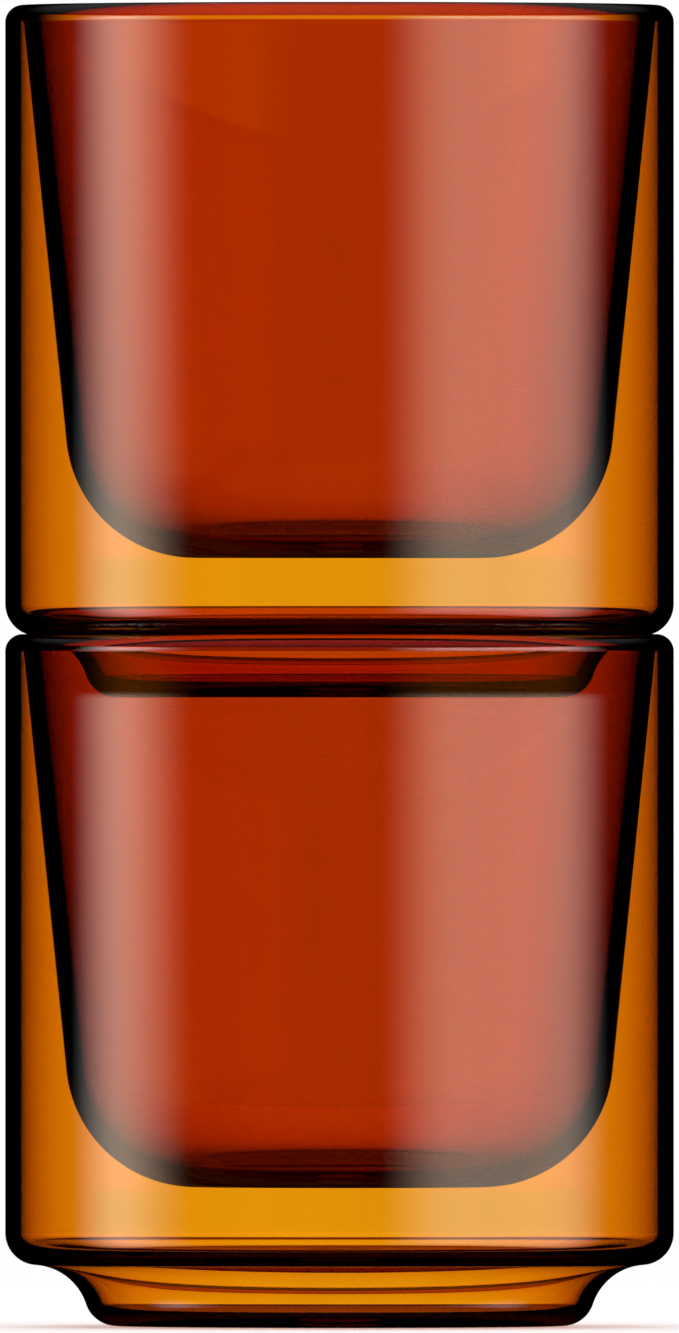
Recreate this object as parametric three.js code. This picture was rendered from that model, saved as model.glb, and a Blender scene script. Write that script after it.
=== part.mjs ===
// Stacked pair of double-walled espresso glasses, in millimetres, with +Z up.
// The origin is the middle of the lower glass's foot, on the table.
// Every piece is turned about the Z axis from an outline of (radius, height) points.

import * as THREE from 'three';

// Whole glass
const glassDiameter = 65.0;
const glassHeight = 67.25;

// Walls, and the air gap between them where they meet the rim
const jacketWall = 1.5;
const cupWall = 1.55;
const rimGap = 0.29;

// Inner cup
const cupTaperDegrees = 5.82;
const cupUndersideHeight = 13.5;
const cupCornerRadius = 12.6;

// Stepped foot: a rounded heel, a hollow cove and a rounded toe, each running into the next
const heelCentreHeight = 9.04;
const heelRadius = 3.12;
const heelSweepDegrees = 86.3;
const coveRadius = 5.57;
const toeRadius = 3.09;

// Vent hole in the middle of the foot, and the plug pressed into it from below
const ventHoleRadius = 1.5;
const plugHeadRadius = 2.95;
const plugHeadThickness = 0.5;
const plugHeadChamfer = 0.15;
const plugRecess = 0.3;
const plugClearance = 0.05;

// Space left between the lower rim and the heel that stands on it
const stackClearance = 0.05;

// Fineness of the round surfaces
const turnSegments = 40;
const footArcSteps = 4;
const cupArcSteps = 5;
const rimArcSteps = 8;
const gapArcSteps = 3;

// Finishes
const jacketGlass = { color: 0xe29509, roughness: 0.05, metalness: 0 };
const cupGlass = { color: 0xa62d00, roughness: 0.05, metalness: 0 };
const rimGlass = { color: 0xc05a05, roughness: 0.05, metalness: 0 };
const plugSilicone = { color: 0xd8d2c8, roughness: 0.6, metalness: 0 };

// Sizes that follow from the ones above
const taper = THREE.MathUtils.degToRad(cupTaperDegrees);
const cupWallAcross = cupWall / Math.cos(taper);
const outerRadius = glassDiameter / 2;
const jacketInnerRadius = outerRadius - jacketWall;

// The rim bead is as wide as both walls and the gap, and the cup's inside runs straight out of it
const rimWidth = jacketWall + rimGap + cupWallAcross;
const rimRadius = rimWidth / (1 + 1 / Math.cos(taper));
const rimCentreRadius = outerRadius - rimRadius;
const rimCentreHeight = glassHeight - rimRadius;

// The cup's walls at the rim, and the middle of its rounded bottom corner
const cupOuterRadius = jacketInnerRadius - rimGap;
const cupInnerRadius = cupOuterRadius - cupWallAcross;
const cornerHeight = cupUndersideHeight + cupCornerRadius;
const cupOuterAtCorner = cupOuterRadius - (rimCentreHeight - cornerHeight) * Math.tan(taper);
const cornerRadius = cupOuterAtCorner - cupCornerRadius / Math.cos(taper);

// The middles of the heel, cove and toe, chained so that each arc leaves the last one smoothly
const heelSweep = THREE.MathUtils.degToRad(heelSweepDegrees);
const heelCentre = new THREE.Vector2(outerRadius - heelRadius, heelCentreHeight);
const coveCentre = heelCentre.clone().add(direction(-heelSweep).multiplyScalar(heelRadius + coveRadius));
const toeReach = coveRadius + toeRadius;
const toeAngle = Math.PI - Math.asin((toeRadius - coveCentre.y) / toeReach);
const toeCentre = coveCentre.clone().add(direction(toeAngle).multiplyScalar(toeReach));

// The plug's seat in the foot
const ventSeatHeight = plugRecess + plugHeadThickness;
const ventSeatRadius = plugHeadRadius + plugClearance;

// The heel of the upper glass and the rim of the lower one are two round edges that meet
const seatReach = rimRadius + heelRadius + stackClearance;
const seatRise = Math.sqrt(seatReach ** 2 - (rimCentreRadius - heelCentre.x) ** 2);
const stackPitch = rimCentreHeight + seatRise - heelCentreHeight;

// Unit vector at an angle measured from the radius towards +Z
function direction(angle) {
  return new THREE.Vector2(Math.cos(angle), Math.sin(angle));
}

// Outline points along a round stretch, both ends included
function arc(centre, radius, fromAngle, toAngle, steps) {
  const points = [];
  for (let step = 0; step <= steps; step += 1) {
    const angle = fromAngle + ((toAngle - fromAngle) * step) / steps;
    points.push(centre.clone().add(direction(angle).multiplyScalar(radius)));
  }
  return points;
}

// Outline of a ring, closed on itself
function closed(points) {
  return [...points, points[0].clone()];
}

// Tapered cup with a rounded bottom corner; its floor and wall are equally thick
function innerCupOutline() {
  const corner = new THREE.Vector2(cornerRadius, cornerHeight);
  const floorDown = -Math.PI / 2;
  return [
    new THREE.Vector2(0, cupUndersideHeight),
    ...arc(corner, cupCornerRadius, floorDown, -taper, cupArcSteps),
    new THREE.Vector2(cupOuterRadius, rimCentreHeight),
    new THREE.Vector2(cupInnerRadius, rimCentreHeight),
    ...arc(corner, cupCornerRadius - cupWall, -taper, floorDown, cupArcSteps),
    new THREE.Vector2(0, cupUndersideHeight + cupWall),
  ];
}

// Straight tube from the heel up to the rim
function outerJacketOutline() {
  return closed([
    new THREE.Vector2(jacketInnerRadius, heelCentreHeight),
    new THREE.Vector2(outerRadius, heelCentreHeight),
    new THREE.Vector2(outerRadius, rimCentreHeight),
    new THREE.Vector2(jacketInnerRadius, rimCentreHeight),
  ]);
}

// Rounded ring over both walls, hollowed underneath where the air gap ends
function rimBeadOutline() {
  const crown = new THREE.Vector2(rimCentreRadius, rimCentreHeight);
  const gapMiddle = new THREE.Vector2(cupOuterRadius + rimGap / 2, rimCentreHeight);
  return closed([
    ...arc(crown, rimRadius, 0, Math.PI - taper, rimArcSteps),
    new THREE.Vector2(cupInnerRadius, rimCentreHeight),
    ...arc(gapMiddle, rimGap / 2, Math.PI, 0, gapArcSteps),
  ]);
}

// Heel, cove and toe at one distance inside the outer surface, from the jacket down to the floor
function footStretch(inset) {
  return [
    ...arc(heelCentre, heelRadius - inset, 0, -heelSweep, footArcSteps),
    ...arc(coveCentre, coveRadius + inset, Math.PI - heelSweep, toeAngle, footArcSteps).slice(1),
    ...arc(toeCentre, toeRadius - inset, toeAngle - Math.PI, -Math.PI / 2, footArcSteps).slice(1),
  ];
}

// Stepped foot as thick as the jacket, with the vent hole and the seat for its plug
function steppedFootOutline() {
  return closed([
    new THREE.Vector2(ventHoleRadius, jacketWall),
    new THREE.Vector2(ventHoleRadius, ventSeatHeight),
    new THREE.Vector2(ventSeatRadius, ventSeatHeight),
    new THREE.Vector2(ventSeatRadius, 0),
    ...footStretch(0).reverse(),
    ...footStretch(jacketWall),
  ]);
}

// Plug with a flat head below the seat and a stem that fills the hole
function ventPlugOutline() {
  const stemRadius = ventHoleRadius - plugClearance;
  return [
    new THREE.Vector2(0, plugRecess),
    new THREE.Vector2(plugHeadRadius - plugHeadChamfer, plugRecess),
    new THREE.Vector2(plugHeadRadius, plugRecess + plugHeadChamfer),
    new THREE.Vector2(plugHeadRadius, ventSeatHeight),
    new THREE.Vector2(stemRadius, ventSeatHeight),
    new THREE.Vector2(stemRadius, jacketWall),
    new THREE.Vector2(0, jacketWall),
  ];
}

// One named piece, turned from its outline
function turnedPiece(name, outline, finish) {
  const geometry = new THREE.LatheGeometry(outline, turnSegments).rotateX(Math.PI / 2);
  const piece = new THREE.Mesh(geometry, new THREE.MeshStandardMaterial(finish));
  piece.name = name;
  return piece;
}

// One whole glass, standing at a height
function espressoGlass(place, standingHeight) {
  const glass = new THREE.Group();
  glass.add(
    turnedPiece(`${place}_inner_cup`, innerCupOutline(), cupGlass),
    turnedPiece(`${place}_outer_jacket`, outerJacketOutline(), jacketGlass),
    turnedPiece(`${place}_rim_bead`, rimBeadOutline(), rimGlass),
    turnedPiece(`${place}_stepped_foot`, steppedFootOutline(), jacketGlass),
    turnedPiece(`${place}_vent_plug`, ventPlugOutline(), plugSilicone),
  );
  glass.position.z = standingHeight;
  return glass;
}

const stack = new THREE.Group();
stack.add(espressoGlass('lower', 0), espressoGlass('upper', stackPitch));

export default stack;
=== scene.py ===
# %% [markdown]
# # Two amber espresso glasses, one standing in the mouth of the other
#
# Each glass has two walls with air between them: a tapered cup inside a straight jacket. The walls
# are melted together in a round rim, and the jacket is melted to a stepped foot. This lesson turns
# each piece from an outline, as a glass lathe does, and then gives the glass its colour the way real
# glass has it: inside, by how far the light travels through it.

# %% Load the frame that every piece is built around
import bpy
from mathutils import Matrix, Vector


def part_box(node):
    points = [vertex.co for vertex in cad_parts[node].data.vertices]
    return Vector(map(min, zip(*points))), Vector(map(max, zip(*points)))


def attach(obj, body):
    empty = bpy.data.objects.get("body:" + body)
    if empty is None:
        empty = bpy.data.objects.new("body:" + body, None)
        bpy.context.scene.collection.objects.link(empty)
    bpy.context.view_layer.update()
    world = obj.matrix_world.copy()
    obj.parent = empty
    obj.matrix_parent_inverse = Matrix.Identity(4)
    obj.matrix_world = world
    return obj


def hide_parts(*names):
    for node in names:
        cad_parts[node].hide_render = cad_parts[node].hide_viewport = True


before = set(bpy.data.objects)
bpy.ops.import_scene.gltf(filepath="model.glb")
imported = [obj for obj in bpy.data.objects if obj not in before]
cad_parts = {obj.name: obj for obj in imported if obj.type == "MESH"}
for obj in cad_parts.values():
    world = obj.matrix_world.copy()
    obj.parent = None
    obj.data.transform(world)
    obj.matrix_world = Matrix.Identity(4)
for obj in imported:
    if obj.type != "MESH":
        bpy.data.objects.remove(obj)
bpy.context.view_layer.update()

# %% Tools
import math

import bpy
from mathutils import Matrix, Vector

MM = 0.001

# %% [markdown]
# ## The sizes of one glass
#
# Whatever the frame can tell is measured on it: the heights of the melted seams, the width of the
# jacket, and how far the upper glass stands above the lower one. The walls and the radii of the
# rounded edges can't be read from a box, so they are written here, as a glassmaker's drawing has them.

# %% Measure the frame
jacket_low, jacket_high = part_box("lower_outer_jacket")
cup_low, cup_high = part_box("lower_inner_cup")
plug_low, plug_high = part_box("lower_vent_plug")
outer_radius = jacket_high.x
heel_height = jacket_low.z
rim_height = jacket_high.z
cup_underside = cup_low.z
cup_outer_radius = cup_high.x
stack_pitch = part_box("upper_outer_jacket")[0].z - jacket_low.z
print(f"seams at {heel_height / MM:.2f} and {rim_height / MM:.2f} mm, pitch {stack_pitch / MM:.2f} mm")

# %% Write down the walls and the rounded edges
jacket_wall = 1.5 * MM
cup_wall = 1.55 * MM
cup_taper = math.radians(5.82)
cup_corner = 12.6 * MM
heel_radius = 3.12 * MM
heel_sweep = math.radians(86.3)
cove_radius = 5.57 * MM
toe_radius = 3.09 * MM
vent_hole_radius = 1.5 * MM
plug_clearance = 0.05 * MM

jacket_inner_radius = outer_radius - jacket_wall
rim_gap = jacket_inner_radius - cup_outer_radius
cup_inner_radius = cup_outer_radius - cup_wall / math.cos(cup_taper)
rim_radius = (outer_radius - cup_inner_radius) / (1 + 1 / math.cos(cup_taper))
print(f"rim {rim_radius / MM:.3f} mm round, gap {rim_gap / MM:.2f} mm wide at the rim")

# %% [markdown]
# ## A pen that draws outlines
#
# A round piece is half a cross-section, spun once round the axis. The outline is drawn in edit mode
# with two operators: Extrude moves the last point along a straight line, and Spin carries it round a
# centre. Drawing with the operators keeps every round stretch a true arc, which glass needs, because
# it shows the smallest flat as a bent reflection.

# %% The pen
ARC_STEP = math.radians(2.0)
LEAST_STEPS = 2
TURN_STEPS = 192
MERGE_DISTANCE = 0.0005 * MM
SHARP_EDGE = math.radians(25)
DOT_SIZE = 1 * MM


class Pen:
    """Draws an outline in the XZ plane: X is the distance from the axis and Z the height."""

    def __init__(self, radius, height):
        bpy.ops.object.select_all(action="DESELECT")
        bpy.ops.mesh.primitive_plane_add(size=DOT_SIZE)
        bpy.ops.object.mode_set(mode="EDIT")
        bpy.ops.mesh.merge(type="CENTER")
        self.at = Vector((radius, 0, height))
        bpy.ops.transform.translate(value=self.at)

    def line(self, radius, height):
        """A straight stretch to a point."""
        end = Vector((radius, 0, height))
        bpy.ops.mesh.extrude_vertices_move(TRANSFORM_OT_translate={"value": end - self.at})
        self.at = end

    def arc(self, centre, sweep, step=ARC_STEP):
        """A round stretch about a centre; a positive sweep turns from outwards to upwards."""
        middle = Vector((centre[0], 0, centre[1]))
        steps = max(LEAST_STEPS, math.ceil(abs(sweep) / step))
        bpy.ops.mesh.spin(steps=steps, angle=sweep, center=middle, axis=(0, 1, 0))
        self.at = middle + Matrix.Rotation(-sweep, 3, "Y") @ (self.at - middle)

    def turn(self, name):
        """Spins the outline round the upright axis into a smooth piece."""
        bpy.ops.mesh.select_all(action="SELECT")
        bpy.ops.mesh.spin(steps=TURN_STEPS, angle=math.tau, center=(0, 0, 0), axis=(0, 0, 1))
        bpy.ops.mesh.select_all(action="SELECT")
        bpy.ops.mesh.remove_doubles(threshold=MERGE_DISTANCE)
        bpy.ops.mesh.normals_make_consistent(inside=False)
        bpy.ops.object.mode_set(mode="OBJECT")
        bpy.ops.object.shade_smooth_by_angle(angle=SHARP_EDGE)
        piece = bpy.context.object
        piece.name = name
        piece.data.name = name
        print(f"{name}: {len(piece.data.polygons)} faces")
        return piece


# %% [markdown]
# ## Seams that are melted together
#
# Jacket, foot, rim and cup are separate pieces that were melted into one. Where two of them meet, real
# glass has no surface at all. Each piece here is a closed mesh, so it does have a face there. That face
# is marked with an attribute, and the glass material lets light pass the marked faces untouched. The
# two faces of a seam lie a hair apart, so that a ray always meets one and then the other.

# %% Mark melted seams
SEAM_ATTRIBUTE = "melted_seam"
SEAM_HAIR = 0.0005 * MM
SEAM_REACH = 2 * SEAM_HAIR
SEAM_LEVEL = 0.99


def mark_seams(piece, heights):
    """Marks the level faces of a piece that lie at one of the seam heights."""
    seam = piece.data.attributes.new(SEAM_ATTRIBUTE, "FLOAT", "FACE")
    marked = 0
    for face in piece.data.polygons:
        level = abs(face.normal.z) > SEAM_LEVEL
        near = min(abs(face.center.z - height) for height in heights) < SEAM_REACH
        seam.data[face.index].value = float(level and near)
        marked += level and near
    print(f"{piece.name}: {marked} seam faces")


# %% [markdown]
# ## The straight jacket
#
# On the real glass this is a length of drawn tube, as thick at the top as at the bottom. Its outline is
# a thin upright rectangle. A cylinder with a Solidify modifier would do as well, but the pen gives both
# faces of the wall and both ends their exact places at once.

# %% Turn the jacket
jacket_floor = heel_height + SEAM_HAIR
jacket_top = rim_height - SEAM_HAIR
pen = Pen(jacket_inner_radius, jacket_floor)
pen.line(outer_radius, jacket_floor)
pen.line(outer_radius, jacket_top)
pen.line(jacket_inner_radius, jacket_top)
pen.line(jacket_inner_radius, jacket_floor)
jacket = pen.turn("lower_jacket_tube")
mark_seams(jacket, [heel_height, rim_height])

# %% [markdown]
# ## The tapered cup
#
# The cup is blown on its own: a tapered wall that runs through a wide round corner into a flat floor.
# The inside and the outside are drawn about the same corner centre, so the wall is equally thick all
# the way down. The outline starts and ends on the axis, where the spin closes the floor.

# %% Find the cup's corner
corner_height = cup_underside + cup_corner
outer_at_corner = cup_outer_radius - (rim_height - corner_height) * math.tan(cup_taper)
corner_centre = (outer_at_corner - cup_corner / math.cos(cup_taper), corner_height)
corner_sweep = math.pi / 2 - cup_taper
inner_corner = cup_corner - cup_wall
print(f"flat cup floor {2 * corner_centre[0] / MM:.1f} mm across")

# %% Turn the cup
cup_top = rim_height - SEAM_HAIR
top_step = SEAM_HAIR * math.tan(cup_taper)
pen = Pen(0, cup_underside)
pen.line(corner_centre[0], cup_underside)
pen.arc(corner_centre, corner_sweep)
pen.line(cup_outer_radius - top_step, cup_top)
pen.line(cup_inner_radius - top_step, cup_top)
pen.line(corner_centre[0] + inner_corner * math.cos(cup_taper),
         corner_height - inner_corner * math.sin(cup_taper))
pen.arc(corner_centre, -corner_sweep)
pen.line(0, cup_underside + cup_wall)
cup = pen.turn("lower_cup_bowl")
mark_seams(cup, [rim_height])

# %% [markdown]
# ## The round rim
#
# The rim is where the two walls run together in the flame. Surface tension pulls it into a full round.
# The air gap ends in it under a slanting roof, because the glass flows from the jacket to the cup. That
# roof mirrors the light from above, as the thin bright line that runs all round just below the rim.

# %% Turn the rim
ROOF_SLANT = math.radians(47)
ROOF_SHARE = 0.9
roof_width = ROOF_SHARE * rim_gap
rim_floor = rim_height + SEAM_HAIR
rim_centre = (outer_radius - rim_radius, rim_floor)

pen = Pen(outer_radius, rim_floor)
pen.arc(rim_centre, math.pi - cup_taper)
pen.line(cup_inner_radius, rim_floor)
pen.line(cup_outer_radius, rim_floor)
pen.line(jacket_inner_radius - roof_width, rim_floor + roof_width / math.tan(ROOF_SLANT))
pen.line(jacket_inner_radius, rim_floor)
pen.line(outer_radius, rim_floor)
rim = pen.turn("lower_rim_ring")
mark_seams(rim, [rim_height])

# %% [markdown]
# ## The stepped foot
#
# The foot is pressed: a rounded heel, a hollow cove and a rounded toe, each arc leaving the last one
# without a corner. The heel sits on the rim of the glass below and the toe goes into its mouth. The
# inside follows the outside at one wall's distance. The vent hole in the middle has a wider seat below
# for its stopper.

# %% Find the centres of heel, cove and toe
heel_centre = Vector((outer_radius - heel_radius, heel_height))
heel_way = Vector((math.cos(heel_sweep), -math.sin(heel_sweep)))
cove_centre = heel_centre + heel_way * (heel_radius + cove_radius)
toe_lift = math.asin((toe_radius - cove_centre.y) / (cove_radius + toe_radius))
toe_way = Vector((-math.cos(toe_lift), math.sin(toe_lift)))
toe_centre = cove_centre + toe_way * (cove_radius + toe_radius)
cove_sweep = heel_sweep - toe_lift
toe_sweep = math.pi / 2 - toe_lift
print(f"flat foot {2 * toe_centre.x / MM:.1f} mm across")

# %% Turn the foot
vent_seat_radius = plug_high.x + plug_clearance
vent_seat_height = 0.8 * MM

pen = Pen(outer_radius, heel_height - SEAM_HAIR)
pen.arc(heel_centre, -heel_sweep)
pen.arc(cove_centre, cove_sweep)
pen.arc(toe_centre, -toe_sweep)
pen.line(vent_seat_radius, 0)
pen.line(vent_seat_radius, vent_seat_height)
pen.line(vent_hole_radius, vent_seat_height)
pen.line(vent_hole_radius, jacket_wall)
pen.line(toe_centre.x, jacket_wall)
pen.arc(toe_centre, toe_sweep)
pen.arc(cove_centre, -cove_sweep)
pen.arc(heel_centre, heel_sweep)
pen.line(outer_radius, heel_height - SEAM_HAIR)
foot = pen.turn("lower_foot_dish")
mark_seams(foot, [heel_height])

# %% [markdown]
# ## The vent stopper
#
# The gap between the walls has to breathe while the glass is melted shut, so it has a small hole below,
# closed afterwards with a silicone stopper. It sits a little inside the foot, so it never touches the
# table. Moulded silicone has soft edges and a dimple where the mould's pin stood.

# %% Turn the stopper
SOFT_EDGE = 0.12 * MM
SOFT_STEP = math.radians(15)
QUARTER_TURN = math.pi / 2
dimple_radius = 0.7 * MM
dimple_depth = 0.15 * MM
stem_radius = vent_hole_radius - plug_clearance

pen = Pen(0, plug_low.z + dimple_depth)
pen.line(dimple_radius - SOFT_EDGE, plug_low.z + dimple_depth)
pen.line(dimple_radius, plug_low.z)
pen.line(plug_high.x - SOFT_EDGE, plug_low.z)
pen.arc((plug_high.x - SOFT_EDGE, plug_low.z + SOFT_EDGE), QUARTER_TURN, SOFT_STEP)
pen.line(plug_high.x, vent_seat_height)
pen.line(stem_radius, vent_seat_height)
pen.line(stem_radius, plug_high.z - SOFT_EDGE)
pen.arc((stem_radius - SOFT_EDGE, plug_high.z - SOFT_EDGE), QUARTER_TURN, SOFT_STEP)
pen.line(0, plug_high.z)
stopper = pen.turn("lower_vent_stopper")

# %% [markdown]
# ## Node trees as plain arithmetic
#
# A material is a graph of nodes. Two small helpers keep it readable: `Nodes.add` makes one node with
# its settings and sockets, and `Value` wraps a socket, so that `1 - mask` adds the Math node by itself.
# A Mix node has sockets for numbers, vectors and colours, so those for colours go by their place.

# %% Node helpers
MIX_FIRST = 6
MIX_SECOND = 7
MIX_RESULT = 2


class Value:
    """An output socket of a node tree. Arithmetic on it adds Math nodes."""

    def __init__(self, nodes, socket):
        self.nodes = nodes
        self.socket = socket

    def __add__(self, other):
        return self.nodes.maths("ADD", self, other)

    def __radd__(self, other):
        return self.nodes.maths("ADD", other, self)

    def __sub__(self, other):
        return self.nodes.maths("SUBTRACT", self, other)

    def __rsub__(self, other):
        return self.nodes.maths("SUBTRACT", other, self)

    def __mul__(self, other):
        return self.nodes.maths("MULTIPLY", self, other)

    def __rmul__(self, other):
        return self.nodes.maths("MULTIPLY", other, self)

    def __mod__(self, other):
        return self.nodes.maths("MODULO", self, other)

    def __lt__(self, other):
        return self.nodes.maths("LESS_THAN", self, other)

    def part(self, axis):
        """One of the three numbers of a vector: X, Y or Z."""
        return self.nodes.add("ShaderNodeSeparateXYZ", None, {0: self}, axis)

    def step(self, first, last):
        """Rises softly from 0 at the first value to 1 at the last."""
        return self.nodes.add("ShaderNodeMapRange", {"interpolation_type": "SMOOTHSTEP"},
                              {"Value": self, "From Min": first, "From Max": last})


class Nodes:
    """A node tree that is emptied and then built up node by node."""

    def __init__(self, owner):
        owner.use_nodes = True
        self.tree = owner.node_tree
        self.tree.nodes.clear()

    def add(self, kind, settings=None, sockets=None, output=0):
        """Adds a node, sets its settings, fills or links its sockets, and gives one of its outputs."""
        node = self.tree.nodes.new(kind)
        for name, setting in (settings or {}).items():
            setattr(node, name, setting)
        for name, given in (sockets or {}).items():
            if isinstance(given, Value):
                self.tree.links.new(given.socket, node.inputs[name])
            else:
                node.inputs[name].default_value = given
        return Value(self, node.outputs[output]) if node.outputs else None

    def maths(self, operation, *values):
        """Adds a Math node over some values."""
        return self.add("ShaderNodeMath", {"operation": operation}, dict(enumerate(values)))

    def mix(self, share, first, second):
        """Mixes two colours, by the share of the second one."""
        return self.add("ShaderNodeMix", {"data_type": "RGBA"},
                        {0: share, MIX_FIRST: first, MIX_SECOND: second}, MIX_RESULT)


# %% [markdown]
# ## Amber glass
#
# Coloured glass is coloured all through: the longer the way through it, the deeper the colour. So the
# surface is clear, and a Volume Absorption inside takes out blue first, then green. That one node makes
# the walls yellow where they are seen flat on and nearly black where they are seen edge on. The
# absorption of each colour is written per metre, as a chemist measures it. The surface has two tints.
# Drawn and blown glass has cords, faint streaks along the way it flowed, which a stretched noise gives.
# The other is painted shade: a Layer Weight paints the colour deeper where the surface is seen at a
# slant, on top of the deeper colour that light takes there. On the melted seams a second shader takes
# over, which bends light no more than air does, so light goes straight on from one piece into the next.

# %% Amber glass
WHITE = (1, 1, 1, 1)
GLASS_IOR = 1.47
MELTED_IOR = 1.0
CORD_SCALE = (240, 240, 9)
CORD_DETAIL = 3.0
CORD_EDGES = (0.35, 0.75)
CORD_TINT = (0.97, 0.97, 0.97, 1)
# Painted shade: between these Layer Weight facings the Base Color turns to the deeper slant tint.
SLANT_SHADE_FACING = (0.20, 0.85)


def amber_glass(name, absorption, skin, ground=None):
    """Clear glass whose body absorbs red, green and blue by these amounts per metre; skin is a painted
    shade tint where it is seen at a slant.
    """
    material = bpy.data.materials.new(name)
    nodes = Nodes(material)
    place = nodes.add("ShaderNodeTexCoord", output="Object")
    drawn_out = nodes.add("ShaderNodeMapping", None, {"Vector": place, "Scale": CORD_SCALE})
    cord = nodes.add("ShaderNodeTexNoise", None, {
        "Vector": drawn_out, "Scale": 1.0, "Detail": CORD_DETAIL})
    streaked = nodes.mix(cord.step(*CORD_EDGES), WHITE, CORD_TINT)
    # Painted shade: where the surface is seen at a slant, the Base Color is painted deeper, towards the
    # tint given as skin.
    slant = nodes.add("ShaderNodeLayerWeight", output="Facing")
    seam = nodes.add("ShaderNodeAttribute", {"attribute_name": SEAM_ATTRIBUTE}, output="Fac")
    glass = nodes.add("ShaderNodeBsdfPrincipled", None, {
        "Base Color": nodes.mix(slant.step(*SLANT_SHADE_FACING), streaked, (*skin, 1)),
        "Roughness": ground(place) if ground else 0.0,
        "IOR": GLASS_IOR, "Transmission Weight": 1.0})
    melted = nodes.add("ShaderNodeBsdfPrincipled", None, {
        "Base Color": WHITE, "Roughness": 0.0,
        "IOR": MELTED_IOR, "Transmission Weight": 1.0})
    surface = nodes.add("ShaderNodeMixShader", None, {0: seam, 1: glass, 2: melted})
    density = max(absorption)
    passed = [1 - part / density for part in absorption]
    body = nodes.add("ShaderNodeVolumeAbsorption", None, {"Color": (*passed, 1), "Density": density})
    nodes.add("ShaderNodeOutputMaterial", None, {"Surface": surface, "Volume": body})
    print(name, "absorbs", absorption, "per metre")
    return material


# %% [markdown]
# ## The ring that the glass stands on
#
# A glass rests on the outer ring of its flat foot, and every table it has stood on leaves fine scuffs
# there. The mask is a low height times a band of radii. Both glasses share the material, so the height
# is the remainder after the stacking pitch, and counts from each glass's own foot.

# %% Scuffed ring of the foot
SCUFF_HEIGHT = 0.2 * MM
SCUFF_BAND = (18.5 * MM, 21.0 * MM)
SCUFF_ROUGHNESS = 0.6
SCUFF_SCALE = 900
SCUFF_DETAIL = 4.0


def scuffed_ring(place):
    """Roughness of the foot: polished, with a finely scuffed ring underneath."""
    across = place.part("X") * place.part("X")
    along = place.part("Y") * place.part("Y")
    radius = place.nodes.maths("SQRT", across + along)
    height = (place.part("Z") + SCUFF_HEIGHT) % stack_pitch
    scuff = place.nodes.add("ShaderNodeTexNoise", None, {
        "Vector": place, "Scale": SCUFF_SCALE, "Detail": SCUFF_DETAIL})
    ring = radius.step(*SCUFF_BAND) * (height < 2 * SCUFF_HEIGHT)
    return ring * scuff * SCUFF_ROUGHNESS


# %% [markdown]
# ## Three ambers
#
# Jacket and foot are of the lightest amber. The cup is deeper, which shows where it stands before the
# jacket, and the rim, where both have run together, lies halfway. One material with masks could hold
# all three, but an absorption that is the same all through a piece stays a plain number on its node,
# so each amber is a material of its own. Where the glass is seen at a slant, its colour is painted
# deeper as shade: brown on the cup and orange on the other pieces. Only the foot has the scuffed ring.

# %% Mix the ambers
JACKET_ABSORPTION = (35, 360, 1925)
CUP_ABSORPTION = (164, 725, 2450)
RIM_ABSORPTION = (98, 530, 2190)
# Painted shade: the tints the glass surface is painted where it is seen at a slant.
ORANGE_SLANT_SHADE = (0.94, 0.52, 0.40)
BROWN_SLANT_SHADE = (0.60, 0.80, 0.80)
jacket_glass = amber_glass("amber_jacket_glass", JACKET_ABSORPTION, ORANGE_SLANT_SHADE)
foot_glass = amber_glass("amber_foot_glass", JACKET_ABSORPTION, ORANGE_SLANT_SHADE, scuffed_ring)
cup_glass = amber_glass("deep_amber_cup_glass", CUP_ABSORPTION, BROWN_SLANT_SHADE)
rim_glass = amber_glass("melted_rim_glass", RIM_ABSORPTION, ORANGE_SLANT_SHADE)

# %% [markdown]
# ## Milky silicone
#
# Silicone is soft and a little cloudy. A slow noise drifts between two off-whites, and a fine one makes
# the surface uneven, as moulds that are cut and not polished leave it.

# %% Silicone
DIM_MILK = (0.58, 0.54, 0.48, 1)
PALE_MILK = (0.72, 0.69, 0.64, 1)
CLOUD_SCALE = 700
CLOUD_DETAIL = 2.0
CLOUD_EDGES = (0.3, 0.7)
GRAIN_SCALE = 6000
GRAIN_DETAIL = 3.0
GRAIN_DEPTH = 0.02 * MM
GRAIN_STRENGTH = 0.2
SMOOTH_ROUGHNESS = 0.45
GRAIN_ROUGHNESS = 0.2
silicone = bpy.data.materials.new("milky_silicone")
nodes = Nodes(silicone)
place = nodes.add("ShaderNodeTexCoord", output="Object")
cloud = nodes.add("ShaderNodeTexNoise", None, {
    "Vector": place, "Scale": CLOUD_SCALE, "Detail": CLOUD_DETAIL})
grain = nodes.add("ShaderNodeTexNoise", None, {
    "Vector": place, "Scale": GRAIN_SCALE, "Detail": GRAIN_DETAIL})
milk = nodes.mix(cloud.step(*CLOUD_EDGES), DIM_MILK, PALE_MILK)
bump = nodes.add("ShaderNodeBump", None, {
    "Height": grain, "Strength": GRAIN_STRENGTH, "Distance": GRAIN_DEPTH})
surface = nodes.add("ShaderNodeBsdfPrincipled", None, {
    "Base Color": milk, "Roughness": SMOOTH_ROUGHNESS + GRAIN_ROUGHNESS * grain, "Normal": bump})
nodes.add("ShaderNodeOutputMaterial", None, {"Surface": surface})
print(silicone.name, len(silicone.node_tree.nodes), "nodes")

# %% [markdown]
# ## Two equal glasses
#
# The upper glass is the same glass again. Each piece is copied with its own mesh, and the copy is moved
# up in edit mode, so that every object keeps its origin at the foot of the stack. Each piece then rides
# on its body and takes the place of its plain solid in the frame.

# %% Fit the pieces to the frame
PIECES = [
    (jacket, "outer_jacket", "jacket_glass", jacket_glass),
    (cup, "inner_cup", "cup_glass", cup_glass),
    (rim, "rim_bead", "rim_glass", rim_glass),
    (foot, "stepped_foot", "jacket_glass", foot_glass),
    (stopper, "vent_plug", "vent_silicone", silicone),
]


def fit(piece, place, node):
    """Puts a finished piece on its body in place of its node."""
    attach(piece, f"{place}_glass")
    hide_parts(f"{place}_{node}")


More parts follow.
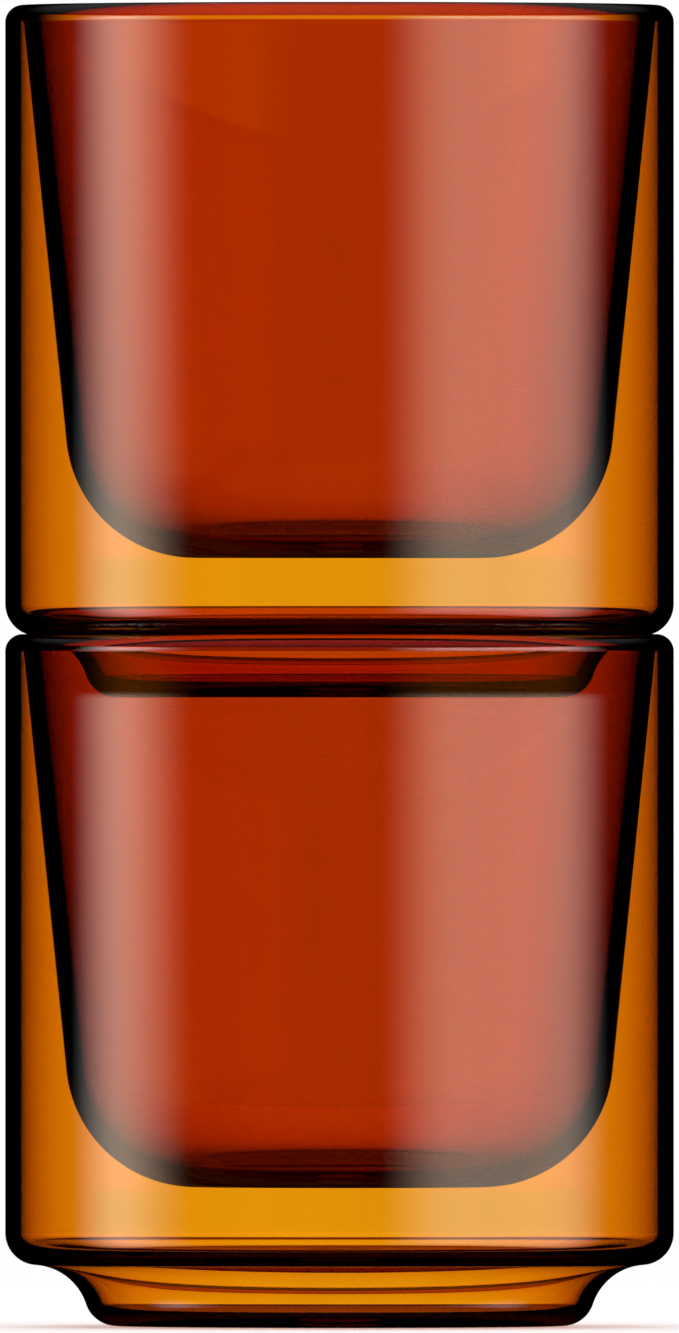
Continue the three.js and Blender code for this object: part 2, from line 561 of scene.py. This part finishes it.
for piece, node, slot, material in PIECES:
    piece.data.materials.append(material)
    bpy.ops.object.select_all(action="DESELECT")
    piece.select_set(True)
    bpy.context.view_layer.objects.active = piece
    bpy.ops.object.duplicate()
    copy = bpy.context.object
    copy.name = piece.name.replace("lower", "upper")
    copy.data.name = copy.name
    bpy.ops.object.mode_set(mode="EDIT")
    bpy.ops.mesh.select_all(action="SELECT")
    bpy.ops.transform.translate(value=(0, 0, stack_pitch))
    bpy.ops.object.mode_set(mode="OBJECT")
    fit(piece, "lower", node)
    fit(copy, "upper", node)
    print(piece.name, "and", copy.name)

# %% [markdown]
# ## A bright field
#
# Glass is photographed against a white field in a dark studio. What is seen straight through the glass
# is white, and what the edges mirror is dark, so the edges draw themselves as black lines. Light Path
# makes both with one world: a ray that hasn't been mirrored yet, with a Glossy Depth of 0, sees white.
# A mirrored ray sees the studio, dark at eye level and white under the roof. What the far walls mirror
# is weaker than what the near ones do, because more glass is in the way. Transmission Depth counts the
# faces that a ray went through, and tells the two apart. At a depth of 0 the ray was mirrored by the
# outer skin and never went in. There the roof is dim, so the rounded rim keeps its black corners, while
# the thin line below the rim, which is mirrored inside the glass, stays bright.

# %% The world
BLACK = (0, 0, 0, 1)
ROOF_EDGE = math.sin(math.radians(18))
ROOF_FULL = math.sin(math.radians(40))
NO_MIRROR = 0.5
NO_WALLS = 0.5
NEAR_WALLS = 2.5
FAR_ROOF = 0.6
SKIN_ROOF = 0.2
world = bpy.data.worlds.new("white_field")
bpy.context.scene.world = world
nodes = Nodes(world)
straight = nodes.add("ShaderNodeLightPath", output="Glossy Depth") < NO_MIRROR
rise = nodes.add("ShaderNodeTexCoord", output="Generated").part("Z")
depth = nodes.add("ShaderNodeLightPath", output="Transmission Depth")
walls = FAR_ROOF + (1 - FAR_ROOF) * (depth < NEAR_WALLS)
skin = 1 - (1 - SKIN_ROOF) * (depth < NO_WALLS)
roof = rise.step(ROOF_EDGE, ROOF_FULL) * walls * skin
bright = straight + (1 - straight) * roof
dark = nodes.add("ShaderNodeBackground", None, {"Color": BLACK})
white = nodes.add("ShaderNodeBackground", None, {"Color": WHITE})
field = nodes.add("ShaderNodeMixShader", None, {0: bright, 1: dark, 2: white})
nodes.add("ShaderNodeOutputWorld", None, {"Surface": field})
print(f"roof light from {math.degrees(math.asin(ROOF_EDGE)):.0f} degrees up")

# %% [markdown]
# ## The floor
#
# A white table would be mirrored in every edge and turn the black lines grey, so it is only there for
# rays that go straight, and mirrored rays pass it. A little glow lifts it to the white of the field, and
# the shadow of the glasses stays where they stand. The table lies a hair below the foot, because glass
# never touches a table all over.

# %% Lay the floor
FLOOR_RADIUS = 0.4
FLOOR_DROP = 0.1 * MM
FLOOR_WHITE = (0.8, 0.8, 0.8, 1)
FLOOR_ROUGHNESS = 0.9
FLOOR_GLOW = 0.3
pen = Pen(0, -FLOOR_DROP)
pen.line(FLOOR_RADIUS, -FLOOR_DROP)
floor = pen.turn("pale_floor")
floor_paint = bpy.data.materials.new("pale_floor")
nodes = Nodes(floor_paint)
straight = nodes.add("ShaderNodeLightPath", output="Glossy Depth") < NO_MIRROR
pale = nodes.add("ShaderNodeBsdfPrincipled", None, {
    "Base Color": FLOOR_WHITE, "Roughness": FLOOR_ROUGHNESS, "Specular IOR Level": 0.0,
    "Emission Color": WHITE, "Emission Strength": FLOOR_GLOW})
clear = nodes.add("ShaderNodeBsdfTransparent")
surface = nodes.add("ShaderNodeMixShader", None, {0: straight, 1: clear, 2: pale})
nodes.add("ShaderNodeOutputMaterial", None, {"Surface": surface})
floor.data.materials.append(floor_paint)

# %% [markdown]
# ## Two softboxes
#
# The pale upright stripes on the glass are two softboxes: a narrow one to the left of the camera and a
# wide one to its right, both with soft edges. They are painted on one ring round the table, by the
# angle from the camera, and only mirrored rays see them. The jacket mirrors them twice, white on its
# outer face and amber on its inner one. Each softbox is two panels, one above the other. The joint
# between them is level with the place where the glasses meet, so no stripe crosses the nested foot.
# Level with the clear gap below each cup, a gel makes the panels cooler. The bare amber there is the
# brightest part of the glass, and a white stripe on it would turn salmon, where it should be pale yellow.

# %% Stand a ring round the table
RING_RADIUS = 1.5
RING_LOW = -1.2
RING_HIGH = 0.75
pen = Pen(RING_RADIUS, RING_LOW)
pen.line(RING_RADIUS, RING_HIGH)
ring = pen.turn("light_ring")
ring.visible_camera = False
ring.visible_diffuse = False
ring.visible_shadow = False

# %% Paint the softboxes on the ring
LEFT_BOX = (-106.5, -80, -84, -51, 0.478)
RIGHT_BOX = (13, 41, 81, 107, 0.345)
PEAK = 8.0
FAR_STRIPES = 0.3
COOL_WHITE = (0.89, 1, 1, 1)
HOT_BAND = (0.18, 0.36)
TOP_FADE = (0.50, 0.75)
FOOT_FADE = (-1.15, -0.65)
JOINT = ((0.0600, 0.0612), (0.0675, 0.0690))
LOW_GEL = ((-0.0090, -0.0060), (0.0002, 0.0022))
HIGH_GEL = ((0.0660, 0.0680), (0.0762, 0.0782))
GEL_WHITE = (0.45, 1, 0.92, 1)
ring_light = bpy.data.materials.new("light_ring")
nodes = Nodes(ring_light)
place = nodes.add("ShaderNodeTexCoord", output="Object")
height = place.part("Z")
turned = nodes.maths("ARCTAN2", place.part("X"), 0 - place.part("Y"))


def softbox(first, full, fading, last, share):
    """A share of the peak light between two angles from the camera in degrees, with soft edges."""
    rise = turned.step(math.radians(first), math.radians(full))
    fall = turned.step(math.radians(fading), math.radians(last))
    return rise * (1 - fall) * share


def band(rising, falling):
    """A level band of the ring, with soft edges between these heights."""
    return height.step(*rising) - height.step(*falling)


stripes = softbox(*LEFT_BOX) + softbox(*RIGHT_BOX)
stripes = stripes * (1 + height.step(*HOT_BAND)) * (1 - height.step(*TOP_FADE))
stripes = stripes * height.step(*FOOT_FADE) * (1 - band(*JOINT))
mirrored = 1 - (nodes.add("ShaderNodeLightPath", output="Glossy Depth") < NO_MIRROR)
near = nodes.add("ShaderNodeLightPath", output="Transmission Depth") < NEAR_WALLS
lit = stripes * mirrored * (FAR_STRIPES + (1 - FAR_STRIPES) * near)
bare = nodes.add("ShaderNodeEmission", None, {"Color": COOL_WHITE, "Strength": PEAK})
gelled = nodes.add("ShaderNodeEmission", None, {"Color": GEL_WHITE, "Strength": PEAK})
gel = band(*LOW_GEL) + band(*HIGH_GEL)
glow = nodes.add("ShaderNodeMixShader", None, {0: gel, 1: bare, 2: gelled})
clear = nodes.add("ShaderNodeBsdfTransparent")
both = nodes.add("ShaderNodeMixShader", None, {0: lit, 1: clear, 2: glow})
nodes.add("ShaderNodeOutputMaterial", None, {"Surface": both})
ring.data.materials.append(ring_light)
print(ring_light.name, len(ring_light.node_tree.nodes), "nodes")

# %% [markdown]
# ## The camera
#
# The glasses are seen from straight ahead, at half their height, with lines that stay level from rim to
# foot. That takes a very long lens from far away. Light goes through many faces of glass on its way, so
# it is allowed more bounces than usual.

# %% Set the camera
LENS = 860
SENSOR_HEIGHT = 18
FRAME_HEIGHT = 129.6 * MM
FRAME_MIDDLE = 64.1 * MM
camera_data = bpy.data.cameras.new("level_camera")
camera_data.lens = LENS
camera_data.sensor_fit = "VERTICAL"
camera_data.sensor_height = SENSOR_HEIGHT
distance = LENS / SENSOR_HEIGHT * FRAME_HEIGHT
camera = bpy.data.objects.new("level_camera", camera_data)
bpy.context.scene.collection.objects.link(camera)
camera.location = (0, -distance, FRAME_MIDDLE)
camera.rotation_euler = (math.pi / 2, 0, 0)
bpy.context.scene.camera = camera
print(f"camera {distance:.2f} m away")

# %% Allow for many faces of glass
GLASS_BOUNCES = 40
MIRROR_BOUNCES = 8
CLEAR_BOUNCES = 64
scene = bpy.context.scene
scene.view_settings.view_transform = "Standard"
scene.cycles.max_bounces = GLASS_BOUNCES
scene.cycles.transmission_bounces = GLASS_BOUNCES
scene.cycles.glossy_bounces = MIRROR_BOUNCES
scene.cycles.transparent_max_bounces = CLEAR_BOUNCES
scene.cycles.blur_glossy = 0
print("light bounces", scene.cycles.max_bounces, "times")
